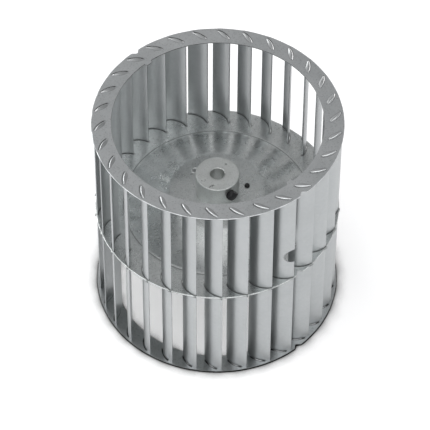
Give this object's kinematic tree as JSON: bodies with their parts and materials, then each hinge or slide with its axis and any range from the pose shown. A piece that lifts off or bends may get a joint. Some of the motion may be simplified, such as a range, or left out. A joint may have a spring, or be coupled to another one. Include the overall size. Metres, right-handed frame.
{
  "type": "blower motor wheel",
  "caption": "Double-inlet squirrel-cage blower wheel with forward-curved blades, end rings, a dished centre disc and a hub with a set screw.",
  "frame": {"origin": "centre of the rear ring's underside, on the shaft axis", "axes": "+Z along the shaft axis, from the rear ring to the front ring and out of the hub's open end"},
  "size_m": [0.216, 0.216, 0.214],
  "materials": {
    "ring_zinc": "galvanised sheet, flat pressed, fine scuffs",
    "disc_zinc": "galvanised sheet, drawn and polished by the die",
    "blade_zinc": "galvanised strip, lengthwise rolling grain",
    "hub_steel": "turned and zinc-plated steel, fine satin",
    "black_screw": "black oxide, slightly oily"
  },
  "bodies": {
    "wheel": {"front_ring": "ring_zinc", "rear_ring": "ring_zinc", "centre_disc": "disc_zinc", "plate_rivet": "black_screw", "hub": "hub_steel", "blade_01": "blade_zinc", "blade_02": "blade_zinc", "blade_03": "blade_zinc", "blade_04": "blade_zinc", "blade_05": "blade_zinc", "blade_06": "blade_zinc", "blade_07": "blade_zinc", "blade_08": "blade_zinc", "blade_09": "blade_zinc", "blade_10": "blade_zinc", "blade_11": "blade_zinc", "blade_12": "blade_zinc", "blade_13": "blade_zinc", "blade_14": "blade_zinc", "blade_15": "blade_zinc", "blade_16": "blade_zinc", "blade_17": "blade_zinc", "blade_18": "blade_zinc", "blade_19": "blade_zinc", "blade_20": "blade_zinc", "blade_21": "blade_zinc", "blade_22": "blade_zinc", "blade_23": "blade_zinc", "blade_24": "blade_zinc", "blade_25": "blade_zinc", "blade_26": "blade_zinc", "blade_27": "blade_zinc", "blade_28": "blade_zinc", "blade_29": "blade_zinc", "blade_30": "blade_zinc"},
    "screw": {"set_screw": "black_screw"}
  },
  "joints": [
    {"name": "set_screw_travel", "type": "slide", "parent": "wheel", "child": "screw", "axis": [0.5948, -0.8039, 0], "range_m": [-0.0005, 0.012]}
  ]
}
